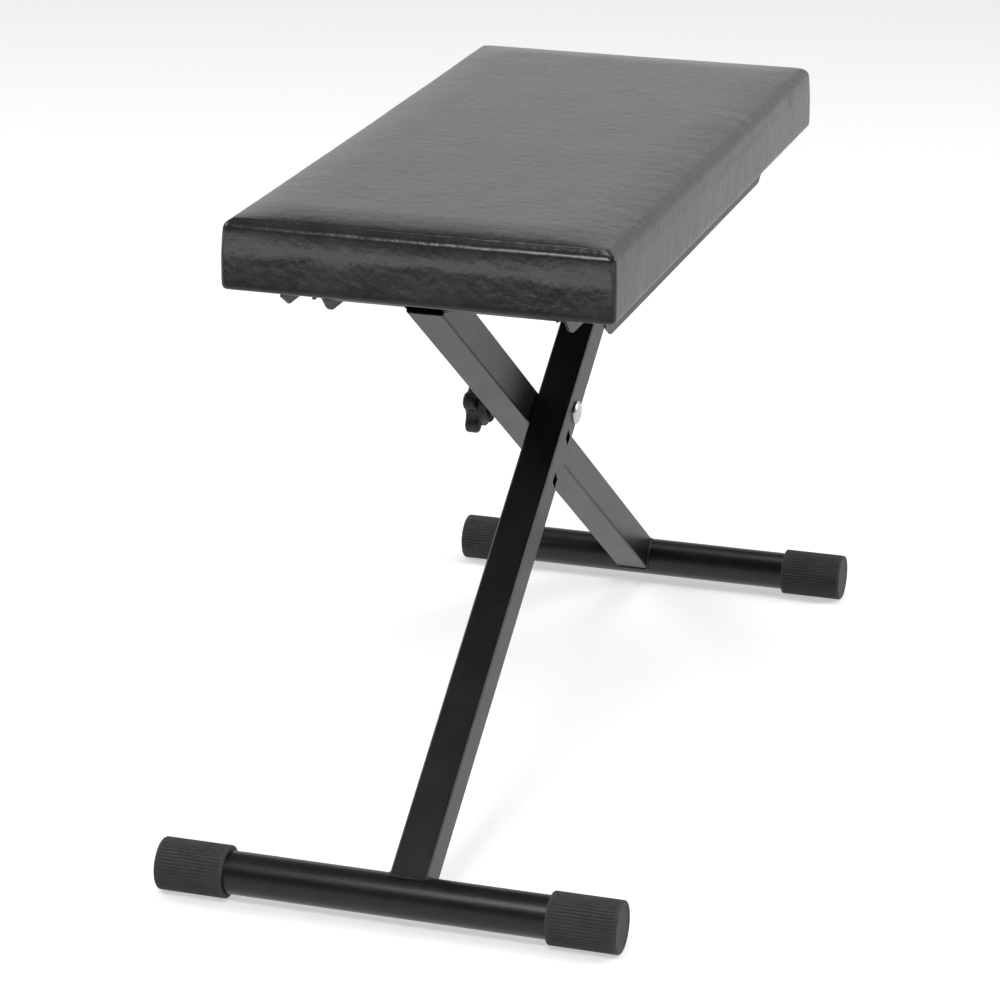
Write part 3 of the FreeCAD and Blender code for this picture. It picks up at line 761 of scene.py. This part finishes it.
for end, body, x in (("left", "front_leg", -foot_x), ("right", "back_leg", foot_x)):
    for face, side in (("front", -1), ("back", 1)):
        cap = ring_piece(f"{end}_{face}_ribbed_cap", cap_rings(x, side), 30.0)
        dress(cap, body, "rubber", f"{end}_{face}_foot_cap")


# Carriage bolt

bolt_x = 7.741 * MM
bolt_z = 267.866 * MM
leg_half = 14.0 * MM
leg_gap = 0.5 * MM
leg_face = 28.5 * MM
leg_lean = math.radians(34.64)
head_radius = 9.0 * MM
head_height = 4.2 * MM
head_rim = 0.7 * MM
rim_round = 0.25 * MM
neck_half = 4.35 * MM
neck_length = 4.0 * MM
shank_radius = 4.0 * MM
thread_pitch = 1.25 * MM
thread_start = 49.0 * MM
bolt_tip = 75.0 * MM


def carriage_bolt_rings():
    """Rings of the bolt along Y from its domed head to its tip.

    The head is half an ellipse, the neck a square with rounded corners, and the thread a radius that falls
    by a rounded triangle wave in length / pitch - turn.
    """
    turns = np.linspace(0, 2 * np.pi, 72, endpoint=False)
    rows = []
    for angle in np.linspace(0.08, np.pi / 2, 12):
        level = -head_rim - (head_height - head_rim) * math.cos(angle)
        rows.append((level, head_radius * math.sin(angle)))
    rows += [(-rim_round, head_radius), (0.0, head_radius - rim_round)]
    flat = np.maximum(np.abs(np.cos(turns + leg_lean)), np.abs(np.sin(turns + leg_lean)))
    square = np.minimum(neck_half / flat, 5.6 * MM)
    rows += [(0.0, square), (neck_length, square), (neck_length + 0.8 * MM, shank_radius)]
    rows.append((thread_start - 0.2 * MM, shank_radius))
    for level in np.linspace(thread_start, bolt_tip - 0.8 * MM, 164):
        wave = np.abs(2 * np.mod(level / thread_pitch - turns / (2 * np.pi), 1) - 1)
        depth = 0.62 * MM * np.clip(1.25 * wave - 0.1, 0, 1)
        rows.append((level, 3.98 * MM - depth))
    rows += [(bolt_tip, 3.1 * MM), (bolt_tip, 0.3 * MM)]
    reach = np.array([radius + 0 * turns for _, radius in rows])
    y = np.array([level for level, _ in rows])[:, None] - leg_face + 0 * turns
    return np.stack([bolt_x + reach * np.cos(turns), y, bolt_z + reach * np.sin(turns)], -1)


bolt = ring_piece("domed_carriage_bolt", carriage_bolt_rings(), 35.0)
dress(bolt, "front_leg", "bright_zinc", "carriage_bolt")


# Weld beads

bar_radius = 15.9 * MM
crossbar_radius = 9.5 * MM
pivot_x = 225.0 * MM
pivot_z = 423.315 * MM
bead_radius = 1.25 * MM
bead_pitch = 2.6 * MM


def bead_rows(path, seed):
    """A closed bead round a closed path: circles square to it, their radius rippled by |sin(length)|."""
    along = np.roll(path, -1, 0) - np.roll(path, 1, 0)
    along /= np.linalg.norm(along, axis=1, keepdims=True)
    out = path - path.mean(axis=0)
    out -= (out * along).sum(1, keepdims=True) * along
    out /= np.linalg.norm(out, axis=1, keepdims=True)
    side = np.cross(along, out)
    length = np.cumsum(np.linalg.norm(path - np.roll(path, 1, 0), axis=1))
    scales = 0.2 * np.abs(np.sin(np.pi * length / bead_pitch))
    swell = bead_radius * (0.86 + scales + 0.05 * ripple(length * 300, length, 50.0, seed))
    turns = np.linspace(0, 2 * np.pi, 12, endpoint=False)
    circle = np.cos(turns)[None, :, None] * out[:, None] + np.sin(turns)[None, :, None] * side[:, None]
    return path[:, None] + swell[:, None, None] * circle


def saddle_path(foot, lean_way, middle_y):
    """Where a leg's square skin meets its round bar: sqrt(bar radius^2 - q^2) out along the leg."""
    square = rounded_ring(leg_half, leg_half, 1.8 * MM, 0.0, (26, 26), 4)
    along = np.array([lean_way * math.cos(leg_lean), 0, math.sin(leg_lean)])
    up = np.array([-lean_way * math.sin(leg_lean), 0, math.cos(leg_lean)])
    out = np.sqrt(bar_radius ** 2 - square[:, 0] ** 2)
    path = foot + out[:, None] * along + square[:, :1] * up
    path[:, 1] += middle_y + square[:, 1]
    return path


def leg_beads(name, foot, pivot, lean_way, middle_y):
    """The bead round the foot of a leg and the two round its crossbar, in one piece."""
    turns = np.linspace(0, 2 * np.pi, 64, endpoint=False)
    paths = [saddle_path(foot, lean_way, middle_y)]
    for y in (middle_y - leg_half - 0.4 * MM, middle_y + leg_half + 0.4 * MM):
        circle = np.stack([np.cos(turns), 0 * turns, np.sin(turns)], -1) * (crossbar_radius + 0.2 * MM)
        paths.append(pivot + circle + np.array([0, y, 0]))
    points, faces = [], []
    for seed, path in enumerate(paths):
        rows = bead_rows(path, seed + 20)
        count, around = rows.shape[:2]
        flat = rows.reshape(-1, 3)
        quads = grid_faces(count + 1, around, True) % (count * around)
        first = sum(map(len, points))
        faces += [[first + index for index in face] for face in outward(flat, quads.tolist())]
        points.append(flat)
    return piece_from(name, np.vstack(points), faces, 60.0)


for end, way in (("front", 1), ("back", -1)):
    foot = np.array([-way * foot_x, 0, foot_z])
    pivot = np.array([way * pivot_x, 0, pivot_z])
    bead = leg_beads(f"{end}_leg_beads", foot, pivot, way, -way * (leg_half + leg_gap))
    dress(bead, f"{end}_leg", "black_powder_coat", f"{end}_leg_welds", finish=coated_weld)


# Floor and light

def floor_finish():
    """White paper sweep: plain diffuse, topped up to white for the camera.

    Reflections see white under and behind the bench, a dark stretch before it and a bright one further out.
    """
    make = Finish("floor_paper")
    paper = make.node("ShaderNodeBsdfDiffuse", inputs={"Color": grey(0.82)})
    glow = make.node("ShaderNodeEmission", inputs={"Color": grey(1.0), "Strength": 0.5})
    lit = make.node("ShaderNodeAddShader", inputs=[paper, glow])
    rays = "ShaderNodeLightPath"
    seen = make.node(rays, output="Is Camera Ray")
    mirrored = make.node(rays, output="Is Glossy Ray").maximum(make.node(rays, output="Is Transmission Ray"))
    where = make.node("ShaderNodeSeparateXYZ", inputs=[make.place()])
    under = where.step(-1.25, -0.8) * 0.82
    outer = (1 - where.step(-2.8, -2.3)) * 3.6
    image = make.node("ShaderNodeEmission", inputs={"Color": grey(1.0), "Strength": under + outer + 0.03})
    mirror = make.node("ShaderNodeMixShader", inputs=[mirrored, paper, image])
    shown = make.node("ShaderNodeMixShader", inputs=[seen, mirror, lit])
    make.node("ShaderNodeOutputMaterial", inputs=[shown])
    return make.material


floor_reach = 14.0
floor_corners = [(x * floor_reach, y * floor_reach, 0) for x, y in ((-1, -1), (1, -1), (1, 1), (-1, 1))]
floor_mesh = bpy.data.meshes.new("floor")
floor_mesh.from_pydata(floor_corners, [], [(0, 1, 2, 3)])
floor = bpy.data.objects.new("floor", floor_mesh)
bpy.context.scene.collection.objects.link(floor)
floor.data.materials.append(floor_finish())


def studio_walls():
    """A bright wall behind, a lower one in front and a dim ceiling. The camera sees plain white."""
    world = bpy.data.worlds.new("studio")
    bpy.context.scene.world = world
    world.use_nodes = True
    make = Finish("studio", world.node_tree)
    look = make.node("ShaderNodeTexCoord", output="Generated")
    across = make.node("ShaderNodeSeparateXYZ", inputs=[look])
    rise = make.node("ShaderNodeSeparateXYZ", inputs=[look], output=2)
    backdrop = across.step(-0.1, 0.35) * (1 - rise.step(0.38, 0.66)) * 0.78
    front = (1 - across.step(-0.3, 0.1)) * (1 - rise.step(0.1, 0.3)) * 0.2
    walls = 0.09 + backdrop + front
    seen = make.node("ShaderNodeLightPath", output="Is Camera Ray")
    level = walls + seen * (1.02 - walls)
    sky = make.node("ShaderNodeBackground", inputs={"Color": grey(1.0), "Strength": level})
    make.node("ShaderNodeOutputWorld", inputs=[sky])


studio_walls()


def soft_light(name, place, target, size, power):
    """A square area light aimed at a point."""
    lamp = bpy.data.lights.new(name, "AREA")
    lamp.size = size
    lamp.energy = power
    light = bpy.data.objects.new(name, lamp)
    aim = (Vector(target) - Vector(place)).to_track_quat("-Z", "Y")
    light.matrix_world = Matrix.Translation(place) @ aim.to_matrix().to_4x4()
    bpy.context.scene.collection.objects.link(light)


soft_light("side_softbox", (0.95, -2.6, 1.9), (0, 0, 0.3), 1.4, 38)
soft_light("back_softbox", (0.2, 2.9, 2.3), (0, 0, 0.3), 1.6, 34)
soft_light("front_softbox", (-1.15, 0.1, 1.4), (-0.36, 0, 0), 0.5, 9.0)
soft_light("top_softbox", (0.5, -0.2, 3.0), (0, 0, 0), 1.2, 22)
